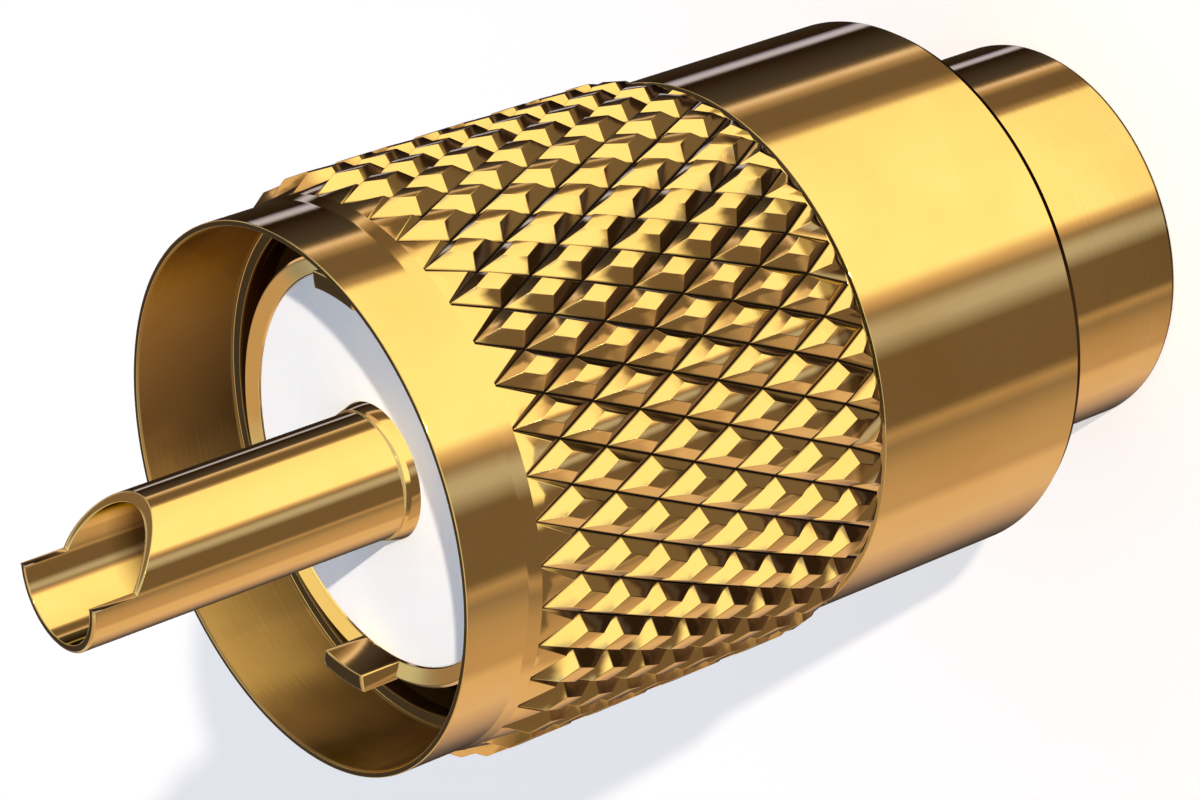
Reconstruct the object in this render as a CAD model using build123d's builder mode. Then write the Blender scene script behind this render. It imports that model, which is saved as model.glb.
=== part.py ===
from build123d import *
from math import cos, pi, radians, sin, tan
import os

# A UHF cable plug, gold plated, standing on its cable end with the contact pin up.
# Millimetres. +Z runs from the cable end to the pin's tip, and z = 0 is the rear end of the barrel.
# Angles are in degrees about +Z, from +X.

# Mating sizes that every plug of this family shares.
pin_radius = 1.98
thread_major_radius = 7.94
thread_minor_radius = 7.42

# Clearances.
running_clearance = 0.08
collar_thread_clearance = 0.14
relief_clearance = 0.30
stop_gap = 0.10
seat_gap = 0.05
press_clearance = 0.02
gland_clearance = 0.10
nut_thread_clearance = 0.05
braid_gap = 0.25

# Plug body: a turned shell with barrel, threaded collar, neck and front rim.
barrel_length = 14.80
barrel_wall = 0.95
collar_step = 1.40
collar_length = 2.50
collar_chamfer = 0.30
neck_length = 9.96
rim_radius = 6.78
rim_wall = 0.56
rim_edge_chamfer = 0.12
rim_recess = 0.23
cavity_depth = 7.26
web_bore_radius = 4.20
web_length = 5.00

# Two teeth on the rim key the body into the notches of its socket.
tooth_height = 1.20
tooth_width_angle = 18.0
tooth_center_angle = -34.0
tooth_count = 2

# Contact pin: a thin tube with a half-open solder tip. Its shank is a little thicker, and shows as
# a tapered collar at the pin's root.
pin_reach = 10.99
pin_wall = 0.26
pin_tip_chamfer = 0.06
pin_shank_step = 0.16
root_collar_length = 0.45
root_collar_taper = 0.10
pin_flange_radius = 2.80
pin_flange_thickness = 1.00
pin_tail_step = 0.18
pin_tail_wall = 0.60
pin_tail_length = 4.50
tip_opening_angle = -31.0
tip_half_length = 1.45
tip_ramp_length = 1.55
tip_ramp_bulge = 0.11

# Coupling ring, whose walls are counted outwards from the relief inside it.
mouth_depth = 3.50
mouth_chamfer = 0.40
lip_step = 0.49
lip_wall = 0.24
lip_flat = 0.05
lip_length = 2.55
ring_thread_length = 9.20
relief_length = 8.80
shoulder_thickness = 2.20
skirt_wall = 0.68
skirt_edge_chamfer = 0.22

# Diamond knurl on the coupling ring.
knurl_root_step = 0.03
knurl_depth = 0.52
knurl_starts = 40
knurl_row_count = 9
knurl_helix_angle = 25.0
knurl_flat_share = 0.38
knurl_phase_angle = -1.5

# Washer between the ring's shoulder and the body's collar.
washer_thickness = 0.60

# Cable gland inside the barrel, from the rear: nut, washer, gasket and ferrule.
cable_bore_radius = 3.20
nut_recess = 0.30
nut_edge_chamfer = 0.30
nut_slot_width = 1.40
nut_slot_depth = 1.20
gland_washer_thickness = 0.60
gasket_length = 3.00
ferrule_flange_length = 1.20
ferrule_nose_rear_radius = 5.00
ferrule_nose_front_radius = 3.90
ferrule_nose_length = 3.70
ferrule_bore_radius = 2.15
ferrule_front_gap = 1.20

# Radii that follow from a neighbour's size.
cavity_radius = rim_radius - rim_wall
insulator_radius = cavity_radius - press_clearance
rear_insulator_radius = web_bore_radius - press_clearance
collar_radius = thread_major_radius - collar_thread_clearance
barrel_radius = collar_radius - collar_step
barrel_bore_radius = barrel_radius - barrel_wall
relief_radius = collar_radius + relief_clearance
skirt_radius = relief_radius + skirt_wall
lip_radius = relief_radius + lip_step
mouth_radius = lip_radius - lip_wall
knurl_root_radius = lip_radius + knurl_root_step
knurl_crest_radius = knurl_root_radius + knurl_depth
shoulder_bore_radius = barrel_radius + running_clearance
gland_radius = barrel_bore_radius - gland_clearance
nut_radius = barrel_bore_radius - nut_thread_clearance
pin_shank_radius = pin_radius + pin_shank_step
pin_tail_radius = pin_radius - pin_tail_step
pin_bore_radius = pin_radius - pin_wall
pin_tail_bore_radius = pin_tail_radius - pin_tail_wall

# Heights along the axis, worked out from the sizes above.
collar_front_z = barrel_length + collar_length
rim_z = collar_front_z + neck_length
cavity_floor_z = rim_z - cavity_depth
flange_front_z = cavity_floor_z + pin_flange_thickness
insulator_front_z = rim_z - rim_recess
root_collar_z = insulator_front_z + root_collar_length
web_rear_z = cavity_floor_z - web_length
pin_tail_z = cavity_floor_z - pin_tail_length
pin_tip_z = rim_z + pin_reach
tip_ramp_front_z = pin_tip_z - tip_half_length
tip_ramp_rear_z = tip_ramp_front_z - tip_ramp_length

thread_rear_z = collar_front_z + stop_gap
mouth_floor_z = thread_rear_z + ring_thread_length
ring_front_z = mouth_floor_z + mouth_depth
shoulder_front_z = thread_rear_z - relief_length
ring_rear_z = shoulder_front_z - shoulder_thickness
knurl_front_z = ring_front_z - lip_length
knurl_row_length = pi * knurl_root_radius / knurl_starts / tan(radians(knurl_helix_angle))
knurl_rear_z = knurl_front_z - knurl_row_count * knurl_row_length
washer_rear_z = shoulder_front_z + seat_gap
ring_travel = barrel_length - stop_gap - washer_thickness - washer_rear_z

ferrule_front_z = web_rear_z - ferrule_front_gap
ferrule_seat_z = ferrule_front_z - ferrule_nose_length
body_seat_z = ferrule_seat_z + stop_gap
gasket_front_z = ferrule_seat_z - ferrule_flange_length
gasket_rear_z = gasket_front_z - gasket_length
nut_front_z = gasket_rear_z - gland_washer_thickness

# The body's cone keeps a gap for the braid all along the ferrule's nose.
nose_slope = (ferrule_nose_rear_radius - ferrule_nose_front_radius) / ferrule_nose_length
seat_rear_radius = ferrule_nose_rear_radius + braid_gap - nose_slope * stop_gap
seat_front_z = body_seat_z + (seat_rear_radius - web_bore_radius) / nose_slope


def on_circle(radius, angle, z):
    """Point at a radius, an angle in degrees and a height."""
    return Vector(radius * cos(radians(angle)), radius * sin(radians(angle)), z)


def towards(start, end, share):
    """Point on the line from start to end."""
    return start + (end - start) * share


def flat_facet(*corners):
    """Plane facet through its corners."""
    return Face(Wire.make_polygon(corners, close=True))


def diamond_knurl():
    """Closed drum whose side is rows of flat-topped diamond pyramids between crossed V grooves.

    Row 0 is the plain front edge. Each later row is half a diamond further back and half a
    pitch round, so the grooves cross at the diamonds' corners. The last row is cut square at
    its widest.
    """
    pitch_angle = 360 / knurl_starts
    half_pitch = pitch_angle / 2
    apex_radius = (knurl_crest_radius - knurl_flat_share * knurl_root_radius) / (1 - knurl_flat_share)
    side_drop = apex_radius - knurl_root_radius * cos(radians(half_pitch))
    side_share = (apex_radius - knurl_crest_radius) / side_drop

    facets = []
    front_edge = []
    rear_edge = []
    for row in range(1, knurl_row_count + 1):
        z = knurl_front_z - row * knurl_row_length
        row_phase = knurl_phase_angle + (row - 1) % 2 * half_pitch
        for start in range(knurl_starts):
            angle = row_phase + start * pitch_angle
            apex = on_circle(apex_radius, angle, z)
            front = on_circle(knurl_root_radius, angle, z + knurl_row_length)
            left = on_circle(knurl_root_radius, angle - half_pitch, z)
            right = on_circle(knurl_root_radius, angle + half_pitch, z)
            front_top = towards(apex, front, knurl_flat_share)
            left_top = towards(apex, left, side_share)
            right_top = towards(apex, right, side_share)
            facets.append(flat_facet(front, left, left_top, front_top))
            facets.append(flat_facet(front, front_top, right_top, right))
            if row < knurl_row_count:
                rear = on_circle(knurl_root_radius, angle, z - knurl_row_length)
                rear_top = towards(apex, rear, knurl_flat_share)
                facets.append(flat_facet(rear, rear_top, left_top, left))
                facets.append(flat_facet(rear, right, right_top, rear_top))
                facets.append(flat_facet(front_top, left_top, rear_top, right_top))
            else:
                facets.append(flat_facet(front_top, left_top, right_top))
                rear_edge += [left, left_top, right_top]
            if row == 1:
                between = on_circle(knurl_root_radius, angle + half_pitch, knurl_front_z)
                next_front = on_circle(knurl_root_radius, angle + pitch_angle, knurl_front_z)
                facets.append(flat_facet(front, right, between))
                facets.append(flat_facet(between, right, next_front))
                front_edge += [front, between]
    facets.append(flat_facet(*front_edge))
    facets.append(flat_facet(*rear_edge))
    return Solid(Shell(facets))


# Coupling ring: lip, knurl and plain skirt outside. Inside are the mouth, the thread's bore, the
# relief that clears the body's collar, and the shoulder that pulls on it.
with BuildPart() as coupling_ring:
    with BuildSketch(Plane.XZ):
        with BuildLine():
            Polyline(
                (0, ring_front_z),
                (lip_radius, ring_front_z),
                (lip_radius, knurl_rear_z),
                (skirt_radius, knurl_rear_z),
                (skirt_radius, ring_rear_z + skirt_edge_chamfer),
                (skirt_radius - skirt_edge_chamfer, ring_rear_z),
                (0, ring_rear_z),
                close=True,
            )
        make_face()
    revolve(axis=Axis.Z)
    add(diamond_knurl())
    with BuildSketch(Plane.XZ):
        with BuildLine():
            Polyline(
                (0, ring_front_z),
                (lip_radius - lip_flat, ring_front_z),
                (mouth_radius, ring_front_z - (lip_radius - lip_flat - mouth_radius)),
                (mouth_radius, mouth_floor_z),
                (thread_minor_radius + mouth_chamfer, mouth_floor_z),
                (thread_minor_radius, mouth_floor_z - mouth_chamfer),
                (thread_minor_radius, thread_rear_z),
                (relief_radius, thread_rear_z),
                (relief_radius, shoulder_front_z),
                (shoulder_bore_radius, shoulder_front_z),
                (shoulder_bore_radius, ring_rear_z),
                (0, ring_rear_z),
                close=True,
            )
        make_face()
    revolve(axis=Axis.Z, mode=Mode.SUBTRACT)

# Washer that turns against the ring's shoulder and meets the body's collar.
with BuildPart() as thrust_washer:
    with BuildSketch(Plane.XY.offset(washer_rear_z)):
        Circle(collar_radius)
        Circle(shoulder_bore_radius, mode=Mode.SUBTRACT)
    extrude(amount=washer_thickness)

# Plug body: barrel, collar and neck turned from one bar and bored from both ends. The cone in its
# rear bore is what the cable's braid is clamped against.
with BuildPart() as plug_body:
    with BuildSketch(Plane.XZ):
        with BuildLine():
            Polyline(
                (barrel_bore_radius, 0),
                (barrel_radius, 0),
                (barrel_radius, barrel_length),
                (collar_radius, barrel_length),
                (collar_radius, collar_front_z - collar_chamfer),
                (collar_radius - collar_chamfer, collar_front_z),
                (rim_radius, collar_front_z),
                (rim_radius, rim_z - rim_edge_chamfer),
                (rim_radius - rim_edge_chamfer, rim_z),
                (cavity_radius, rim_z),
                (cavity_radius, cavity_floor_z),
                (web_bore_radius, cavity_floor_z),
                (web_bore_radius, seat_front_z),
                (seat_rear_radius, body_seat_z),
                (barrel_bore_radius, body_seat_z),
                close=True,
            )
        make_face()
    revolve(axis=Axis.Z)
    wedge_reach = 2 * rim_radius
    wedge_x = wedge_reach * cos(radians(tooth_width_angle / 2))
    wedge_y = wedge_reach * sin(radians(tooth_width_angle / 2))
    with BuildSketch(Plane.XY.offset(rim_z - rim_edge_chamfer)):
        with PolarLocations(0, tooth_count, start_angle=tooth_center_angle):
            Polygon((0, 0), (wedge_x, -wedge_y), (wedge_x, wedge_y), align=None)
        Circle(rim_radius, mode=Mode.INTERSECT)
        Circle(cavity_radius, mode=Mode.SUBTRACT)
    extrude(amount=tooth_height + rim_edge_chamfer)

# Front insulator: the white disc that centres the pin. It sits a little below the rim.
with BuildPart() as front_insulator:
    with BuildSketch(Plane.XY.offset(cavity_floor_z)):
        Circle(insulator_radius)
        Circle(pin_shank_radius + press_clearance, mode=Mode.SUBTRACT)
    extrude(amount=insulator_front_z - cavity_floor_z)
    with BuildSketch(Plane.XY.offset(cavity_floor_z)):
        Circle(pin_flange_radius + press_clearance)
    extrude(amount=pin_flange_thickness, mode=Mode.SUBTRACT)

# Rear insulator: a bush in the web, which backs the pin's flange and holds its tail.
with BuildPart() as rear_insulator:
    with BuildSketch(Plane.XY.offset(web_rear_z)):
        Circle(rear_insulator_radius)
        Circle(pin_tail_radius + press_clearance, mode=Mode.SUBTRACT)
    extrude(amount=web_length)

# Contact pin: a drilled tube, held by its flange between the two insulators. One side of the tip is
# milled away to the axis, with a curved ramp back to the full tube.
with BuildPart() as centre_pin:
    with BuildSketch(Plane.XZ):
        with BuildLine():
            Polyline(
                (pin_tail_bore_radius, pin_tail_z),
                (pin_tail_radius, pin_tail_z),
                (pin_tail_radius, cavity_floor_z),
                (pin_flange_radius, cavity_floor_z),
                (pin_flange_radius, flange_front_z),
                (pin_shank_radius, flange_front_z),
                (pin_shank_radius, insulator_front_z),
                (pin_shank_radius - root_collar_taper, root_collar_z),
                (pin_radius, root_collar_z),
                (pin_radius, pin_tip_z - pin_tip_chamfer),
                (pin_radius - pin_tip_chamfer, pin_tip_z),
                (pin_bore_radius, pin_tip_z),
                (pin_bore_radius, flange_front_z),
                (pin_tail_bore_radius, flange_front_z - (pin_bore_radius - pin_tail_bore_radius)),
                close=True,
            )
        make_face()
    revolve(axis=Axis.Z)
    opening = radians(tip_opening_angle)
    cut_plane = Plane(
        origin=(0, 0, 0),
        x_dir=(cos(opening), sin(opening), 0),
        z_dir=(sin(opening), -cos(opening), 0),
    )
    outside = 2 * pin_radius
    with BuildSketch(cut_plane):
        with BuildLine():
            ramp_middle_z = (tip_ramp_front_z + tip_ramp_rear_z) / 2 + tip_ramp_bulge
            ThreePointArc(
                (0, tip_ramp_front_z),
                (pin_radius / 2, ramp_middle_z),
                (pin_radius, tip_ramp_rear_z),
            )
            Polyline(
                (pin_radius, tip_ramp_rear_z),
                (outside, tip_ramp_rear_z),
                (outside, pin_tip_z + outside),
                (0, pin_tip_z + outside),
                (0, tip_ramp_front_z),
            )
        make_face()
    extrude(amount=outside, both=True, mode=Mode.SUBTRACT)

# Gland nut: screws into the barrel and squeezes the gasket. A slot in its rear face takes a driver.
with BuildPart() as gland_nut:
    with BuildSketch(Plane.XZ):
        with BuildLine():
            Polyline(
                (cable_bore_radius, nut_recess),
                (nut_radius - nut_edge_chamfer, nut_recess),
                (nut_radius, nut_recess + nut_edge_chamfer),
                (nut_radius, nut_front_z),
                (cable_bore_radius, nut_front_z),
                close=True,
            )
        make_face()
    revolve(axis=Axis.Z)
    with BuildSketch(Plane.XY.offset(nut_recess)):
        Rectangle(2 * barrel_radius, nut_slot_width)
    extrude(amount=nut_slot_depth, mode=Mode.SUBTRACT)

# Washer that lets the nut turn without twisting the gasket.
with BuildPart() as gland_washer:
    with BuildSketch(Plane.XY.offset(nut_front_z)):
        Circle(gland_radius)
        Circle(cable_bore_radius, mode=Mode.SUBTRACT)
    extrude(amount=gland_washer_thickness)

# Rubber gasket that the nut squeezes on to the cable's jacket.
with BuildPart() as cable_gasket:
    with BuildSketch(Plane.XY.offset(gasket_rear_z)):
        Circle(gland_radius)
        Circle(cable_bore_radius, mode=Mode.SUBTRACT)
    extrude(amount=gasket_length)

# Braid ferrule: its tapered nose holds the braid in the body's cone.
with BuildPart() as braid_ferrule:
    with BuildSketch(Plane.XZ):
        with BuildLine():
            Polyline(
                (ferrule_bore_radius, gasket_front_z),
                (gland_radius, gasket_front_z),
                (gland_radius, ferrule_seat_z),
                (ferrule_nose_rear_radius, ferrule_seat_z),
                (ferrule_nose_front_radius, ferrule_front_z),
                (ferrule_bore_radius, ferrule_front_z),
                close=True,
            )
        make_face()
    revolve(axis=Axis.Z)

pieces = {
    "coupling_ring": coupling_ring,
    "thrust_washer": thrust_washer,
    "plug_body": plug_body,
    "front_insulator": front_insulator,
    "rear_insulator": rear_insulator,
    "centre_pin": centre_pin,
    "gland_nut": gland_nut,
    "gland_washer": gland_washer,
    "cable_gasket": cable_gasket,
    "braid_ferrule": braid_ferrule,
}
os.makedirs("parts", exist_ok=True)
for name, piece in pieces.items():
    piece.part.label = name
    export_step(piece.part, f"parts/{name}.step")
    print(name, round(piece.part.volume, 2))
print("ring travel", round(ring_travel, 3))
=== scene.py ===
import math

import bmesh
import bpy
from mathutils import Matrix, Vector


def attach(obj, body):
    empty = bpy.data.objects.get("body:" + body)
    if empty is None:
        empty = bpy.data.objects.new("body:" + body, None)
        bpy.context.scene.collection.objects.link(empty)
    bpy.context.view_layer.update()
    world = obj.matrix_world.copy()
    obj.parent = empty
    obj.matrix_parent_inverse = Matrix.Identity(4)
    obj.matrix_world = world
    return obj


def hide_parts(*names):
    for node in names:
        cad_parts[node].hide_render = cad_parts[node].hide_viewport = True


# A gold plated UHF cable plug, standing on its cable end. Sizes are in millimetres until mm turns
# them to metres. Angles are in degrees about Z, from +X.
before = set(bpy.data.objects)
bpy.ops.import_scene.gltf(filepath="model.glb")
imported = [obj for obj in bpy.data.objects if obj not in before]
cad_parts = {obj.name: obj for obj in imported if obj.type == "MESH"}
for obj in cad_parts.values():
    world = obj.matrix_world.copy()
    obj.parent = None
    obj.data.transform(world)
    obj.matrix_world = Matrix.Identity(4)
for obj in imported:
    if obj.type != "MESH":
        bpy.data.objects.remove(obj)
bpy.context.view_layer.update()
mm = 0.001
weldDistance = 0.002 * mm  # points of a grown piece that are nearer than this become one


def linearColour(hexCode):  # sRGB hex to the linear values that Blender's sockets take
    values = []
    for place in (1, 3, 5):
        share = int(hexCode[place:place + 2], 16) / 255
        values.append(share / 12.92 if share <= 0.04045 else ((share + 0.055) / 1.055) ** 2.4)
    return (*values, 1.0)


def addNode(tree, kind, links=None, **settings):  # a link's value is a socket, a node or a number
    made = tree.nodes.new(kind)
    for name, value in settings.items():
        setattr(made, name, value)
    for socket, source in (links or {}).items():
        target = made.inputs[socket]
        if isinstance(source, bpy.types.Node):
            source = source.outputs[0]
        if isinstance(source, bpy.types.NodeSocket):
            tree.links.new(source, target)
        else:
            target.default_value = source
    return made


def newPiece(name, vertices, faces):
    mesh = bpy.data.meshes.new(name)
    mesh.from_pydata(vertices, [], faces)
    mesh.polygons.foreach_set("use_smooth", [True] * len(mesh.polygons))
    mesh.update()
    piece = bpy.data.objects.new(name, mesh)
    bpy.context.scene.collection.objects.link(piece)
    return piece


def plainMesh(piece):  # the piece as its modifiers leave it
    bpy.context.view_layer.update()
    evaluated = piece.evaluated_get(bpy.context.evaluated_depsgraph_get())
    mesh = bpy.data.meshes.new_from_object(evaluated)
    mesh.name = piece.name
    piece.modifiers.clear()
    piece.data = mesh
    return piece


def roundedProfile(corners, steps=4, mostOfRun=0.45):
    # Corners are (radius, height, rounding), anticlockwise round the metal. Each straight or arc
    # step comes back as its start, and the outward directions at its start and end.
    pieces = []
    count = len(corners)
    for place in range(count):
        before, here, after = (Vector(corners[(place + turn) % count][:2]) for turn in (-1, 0, 1))
        rounding = corners[place][2]
        inward, outward = (here - before).normalized(), (after - here).normalized()
        turn = math.atan2(inward.x * outward.y - inward.y * outward.x, inward.dot(outward))
        reach = min(rounding * math.tan(abs(turn) / 2), mostOfRun * (here - before).length,
                    mostOfRun * (after - here).length)
        rounding = reach / max(math.tan(abs(turn) / 2), 1e-9)
        facing = Vector((inward.y, -inward.x))
        side = 1 if turn > 0 else -1
        centre = here - inward * reach - facing * rounding * side
        number = steps if rounding > 0 else 0
        for step in range(number):
            spins = [Matrix.Rotation(turn * share / steps, 2) @ facing
                     for share in (step, step + 1)]
            pieces.append((centre + spins[0] * rounding * side, spins[0], spins[1]))
        leaving = Vector((outward.y, -outward.x))
        start = centre + leaving * rounding * side if number else here
        pieces.append((start, leaving, leaving))
    return pieces


def turnedPiece(name, corners, sides):  # a closed profile spun round Z, with its true normals
    profile = roundedProfile(corners)
    rings = len(profile)
    spins = [2 * math.pi * side / sides for side in range(sides)]
    vertices = [(start.x * math.cos(a) * mm, start.x * math.sin(a) * mm, start.y * mm)
                for start, _, _ in profile for a in spins]
    faces = []
    normals = []
    for ring, (_, first, last) in enumerate(profile):
        above = (ring + 1) % rings
        for side in range(sides):
            beside = (side + 1) % sides
            faces.append((ring * sides + side, ring * sides + beside,
                          above * sides + beside, above * sides + side))
            for facing, a in ((first, spins[side]), (first, spins[beside]),
                              (last, spins[beside]), (last, spins[side])):
                normals.append((facing.x * math.cos(a), facing.x * math.sin(a), facing.y))
    piece = newPiece(name, vertices, faces)
    piece.data.normals_split_custom_set(normals)
    return piece


def softenedEdges(piece, width, angle, steps=2):  # worn edges that leave the flats flat
    bevel = piece.modifiers.new("edges", "BEVEL")
    bevel.width = width * mm
    bevel.segments = steps
    bevel.limit_method = "ANGLE"
    bevel.angle_limit = math.radians(angle)
    bevel.miter_outer = "MITER_ARC"
    weights = piece.modifiers.new("flats", "WEIGHTED_NORMAL")
    weights.weight = 90  # a large face counts for far more than an edge
    return plainMesh(piece)


def facesAxis(face):  # true on the wall of a bore
    return face.center.xy.dot(face.normal.xy) < -0.5 * face.center.xy.length


def treeWithInputs(name, sockets):  # a geometry tree, and the sockets that its inputs come from
    tree = bpy.data.node_groups.new(name, "GeometryNodeTree")
    for label, kind in sockets.items():
        tree.interface.new_socket(name=label, in_out="INPUT", socket_type="NodeSocket" + kind)
    tree.interface.new_socket(name="Geometry", in_out="OUTPUT", socket_type="NodeSocketGeometry")
    return tree, tree.nodes.new("NodeGroupInput").outputs


def grownPiece(name, tree, values):  # runs a geometry tree on an empty piece and keeps the mesh
    piece = newPiece(name, [], [])
    modifier = piece.modifiers.new(name, "NODES")
    modifier.node_group = tree
    for item in tree.interface.items_tree:
        if item.in_out == "INPUT":
            modifier[item.identifier] = values[item.name]
    return plainMesh(piece)


goldValues = {
    "colour": "#FFD47B",
    "deepColour": "#F6C468",
    "cloudSize": 3.2,            # patches where the plating is a little thicker
    "cloudEdges": (0.45, 0.8),   # the noise from which a patch starts, and at which it is full
    "cloudShare": 0.6,           # how far a full patch goes to the deeper colour
    "glossEdges": (0.3, 0.75),
    "dullest": 1.9,              # a patch's roughness, in times of the plain one
    "toolMarkPitch": 0.16,       # a turning tool's feed, drawn coarse enough to show
    "toolMarkWander": 0.02,      # how little a mark changes on its way round the axis
    "shadedBoreEdge": "#7A6448",       # what a bore mirrors at a glancing angle: painted shade on its edge reflections
}


def goldFinish(name, markDepth, roughness, dents=None, grooveShade=None, shade=None):
    # Hard gold over brass: a warm mirror. Turning marks run round the axis and smear what it
    # mirrors, and the plating clouds a little.
    material = bpy.data.materials.new(name)
    material.use_nodes = True
    tree = material.node_tree
    shader = tree.nodes["Principled BSDF"]
    shader.inputs["Metallic"].default_value = 1.0
    place = addNode(tree, "ShaderNodeTexCoord").outputs["Object"]
    axes = addNode(tree, "ShaderNodeSeparateXYZ", {0: place})
    flat = addNode(tree, "ShaderNodeCombineXYZ", {0: axes.outputs[0], 1: axes.outputs[1]})
    radius = addNode(tree, "ShaderNodeVectorMath", {0: flat}, operation="LENGTH").outputs["Value"]
    clouds = addNode(tree, "ShaderNodeTexNoise",
                     {"Vector": place, "Scale": 1 / (goldValues["cloudSize"] * mm), "Detail": 4.0})
    low, high = goldValues["cloudEdges"]
    share = addNode(tree, "ShaderNodeMapRange",
                    {0: clouds, 1: low, 2: high, 3: 0.0, 4: goldValues["cloudShare"]})
    base = addNode(tree, "ShaderNodeMix", {
        0: share.outputs[0], 6: linearColour(goldValues["colour"]),
        7: linearColour(goldValues["deepColour"])}, data_type="RGBA").outputs[2]
    low, high = goldValues["glossEdges"]
    rough = addNode(tree, "ShaderNodeMapRange", {
        0: clouds, 1: low, 2: high, 3: roughness,
        4: roughness * goldValues["dullest"]}).outputs[0]
    if grooveShade:  # painted shade, dark and dull, in the bottom of the knurl's grooves
        groove = addNode(tree, "ShaderNodeAttribute", attribute_name="groove").outputs["Fac"]
        depth = addNode(tree, "ShaderNodeMapRange", {
            0: groove, 1: grooveShade["from"], 2: grooveShade["to"], 3: 0.0, 4: 1.0},
            interpolation_type="SMOOTHSTEP")
        base = addNode(tree, "ShaderNodeMix", {
            0: depth, 6: base, 7: linearColour(grooveShade["colour"])}, data_type="RGBA").outputs[2]
        rough = addNode(tree, "ShaderNodeMath", {0: depth, 1: grooveShade["roughness"], 2: rough},
                        operation="MULTIPLY_ADD").outputs[0]
    if shade:  # painted shade: (height, tint) up a bore, darker where it is deep or filled by the plug
        lowest, highest = shade[0][0], shade[-1][0]
        ramp = addNode(tree, "ShaderNodeValToRGB", {0: addNode(tree, "ShaderNodeMapRange", {
            0: axes.outputs[2], 1: lowest * mm, 2: highest * mm, 3: 0.0, 4: 1.0})})
        stops = ramp.color_ramp.elements
        stops.remove(stops[1])
        for number, (height, tint) in enumerate(shade):
            position = (height - lowest) / (highest - lowest)
            stop = stops[0] if number == 0 else stops.new(position)
            stop.color = linearColour(tint)
        base = addNode(tree, "ShaderNodeMix", {0: 1.0, 6: base, 7: ramp},
                       data_type="RGBA", blend_type="MULTIPLY").outputs[2]
        # the glancing reflections are darkened too, as part of the painted shade
        shader.inputs["Specular Tint"].default_value = linearColour(goldValues["shadedBoreEdge"])
    wander = goldValues["toolMarkWander"]
    along = addNode(tree, "ShaderNodeCombineXYZ", {0: axes.outputs[2], 1: radius})
    stretched = addNode(tree, "ShaderNodeVectorMath", {0: flat, 1: (wander, wander, 0.0), 2: along},
                        operation="MULTIPLY_ADD")
    ridges = addNode(tree, "ShaderNodeTexNoise", {
        "Vector": stretched, "Scale": 1 / (goldValues["toolMarkPitch"] * mm), "Detail": 2.0})
    bump = addNode(tree, "ShaderNodeBump", {
        "Height": ridges, "Strength": 1.0, "Distance": markDepth * mm})
    if dents:  # the knurling wheel leaves the flats a little uneven
        lumps = addNode(tree, "ShaderNodeTexNoise",
                        {"Vector": place, "Scale": 1 / (dents["size"] * mm), "Detail": 1.0})
        bump = addNode(tree, "ShaderNodeBump", {
            "Height": lumps, "Strength": 1.0, "Distance": dents["depth"] * mm, "Normal": bump})
    tree.links.new(base, shader.inputs["Base Color"])
    tree.links.new(rough, shader.inputs["Roughness"])
    tree.links.new(bump.outputs[0], shader.inputs["Normal"])
    return material


plainValues = {
    "glossEdges": (0.3, 0.7),
    "grainSize": 0.12,   # finer in fact, drawn coarse enough to show
    "glowReach": 0.6,    # how far light spreads inside the white plastic
}


def plainFinish(name, colours, roughness, patchSize, grain, ior=1.5, metallic=0.0, subsurface=0.0):
    # A finish whose colour and gloss wander a little between two values, with a fine grain.
    material = bpy.data.materials.new(name)
    material.use_nodes = True
    tree = material.node_tree
    shader = tree.nodes["Principled BSDF"]
    shader.inputs["Metallic"].default_value = metallic
    shader.inputs["IOR"].default_value = ior
    shader.inputs["Subsurface Weight"].default_value = subsurface
    shader.inputs["Subsurface Scale"].default_value = plainValues["glowReach"] * mm
    place = addNode(tree, "ShaderNodeTexCoord").outputs["Object"]
    patches = addNode(tree, "ShaderNodeTexNoise",
                      {"Vector": place, "Scale": 1 / (patchSize * mm), "Detail": 5.0})
    base = addNode(tree, "ShaderNodeMix", {
        0: patches, 6: linearColour(colours[0]), 7: linearColour(colours[1])}, data_type="RGBA")
    low, high = plainValues["glossEdges"]
    gloss = addNode(tree, "ShaderNodeMapRange",
                    {0: patches, 1: low, 2: high, 3: roughness[0], 4: roughness[1]})
    fine = addNode(tree, "ShaderNodeTexNoise", {
        "Vector": place, "Scale": 1 / (plainValues["grainSize"] * mm), "Detail": 3.0})
    bump = addNode(tree, "ShaderNodeBump",
                   {"Height": fine, "Strength": 1.0, "Distance": grain * mm})
    tree.links.new(base.outputs[2], shader.inputs["Base Color"])
    tree.links.new(gloss.outputs[0], shader.inputs["Roughness"])
    tree.links.new(bump.outputs[0], shader.inputs["Normal"])
    return material


paintedBoreShades = {  # painted shade: heights up the plug, and what the gold is multiplied by there
    "ring": [(26.0, "#302B27"), (26.5, "#3A332C"), (26.65, "#877D77"), (30.1, "#B4A8A0")],
    "pin": [(28.0, "#17120E"), (33.5, "#261F1A"), (34.5, "#8F857D"), (35.5, "#FFFFFF")],
}
knurlDentsAndShade = {
    "dents": {"size": 0.55, "depth": 0.006},
    # painted groove shade: from and to are shares of the way down a flank, and the roughness comes
    # on top of the gold's
    "grooveShade": {"from": 0.80, "to": 0.93, "colour": "#22180C", "roughness": 0.3},
}
# Turned outside walls: a bright mirror, smeared a little round the axis.
turnedGold = goldFinish("goldPlatedTurnedBrass", markDepth=0.0006, roughness=0.04)
# The ring's bored mouth: satin gold with coarse rings, browned by painted shade that goes black
# down the gap by the rim.
boredGold = goldFinish("goldPlatedBoredBrass", 0.006, 0.25, shade=paintedBoreShades["ring"])
# The pin's drilled hole: bright at its mouth and dark further down, with painted shade.
drilledGold = goldFinish("goldPlatedDrilledBrass", 0.0006, 0.06, shade=paintedBoreShades["pin"])
# The knurl: bright pressed flanks that sparkle, each a little uneven, between grooves darkened by
# painted shade.
knurledGold = goldFinish("goldPlatedKnurledBrass", 0.0006, 0.07, **knurlDentsAndShade)
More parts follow.
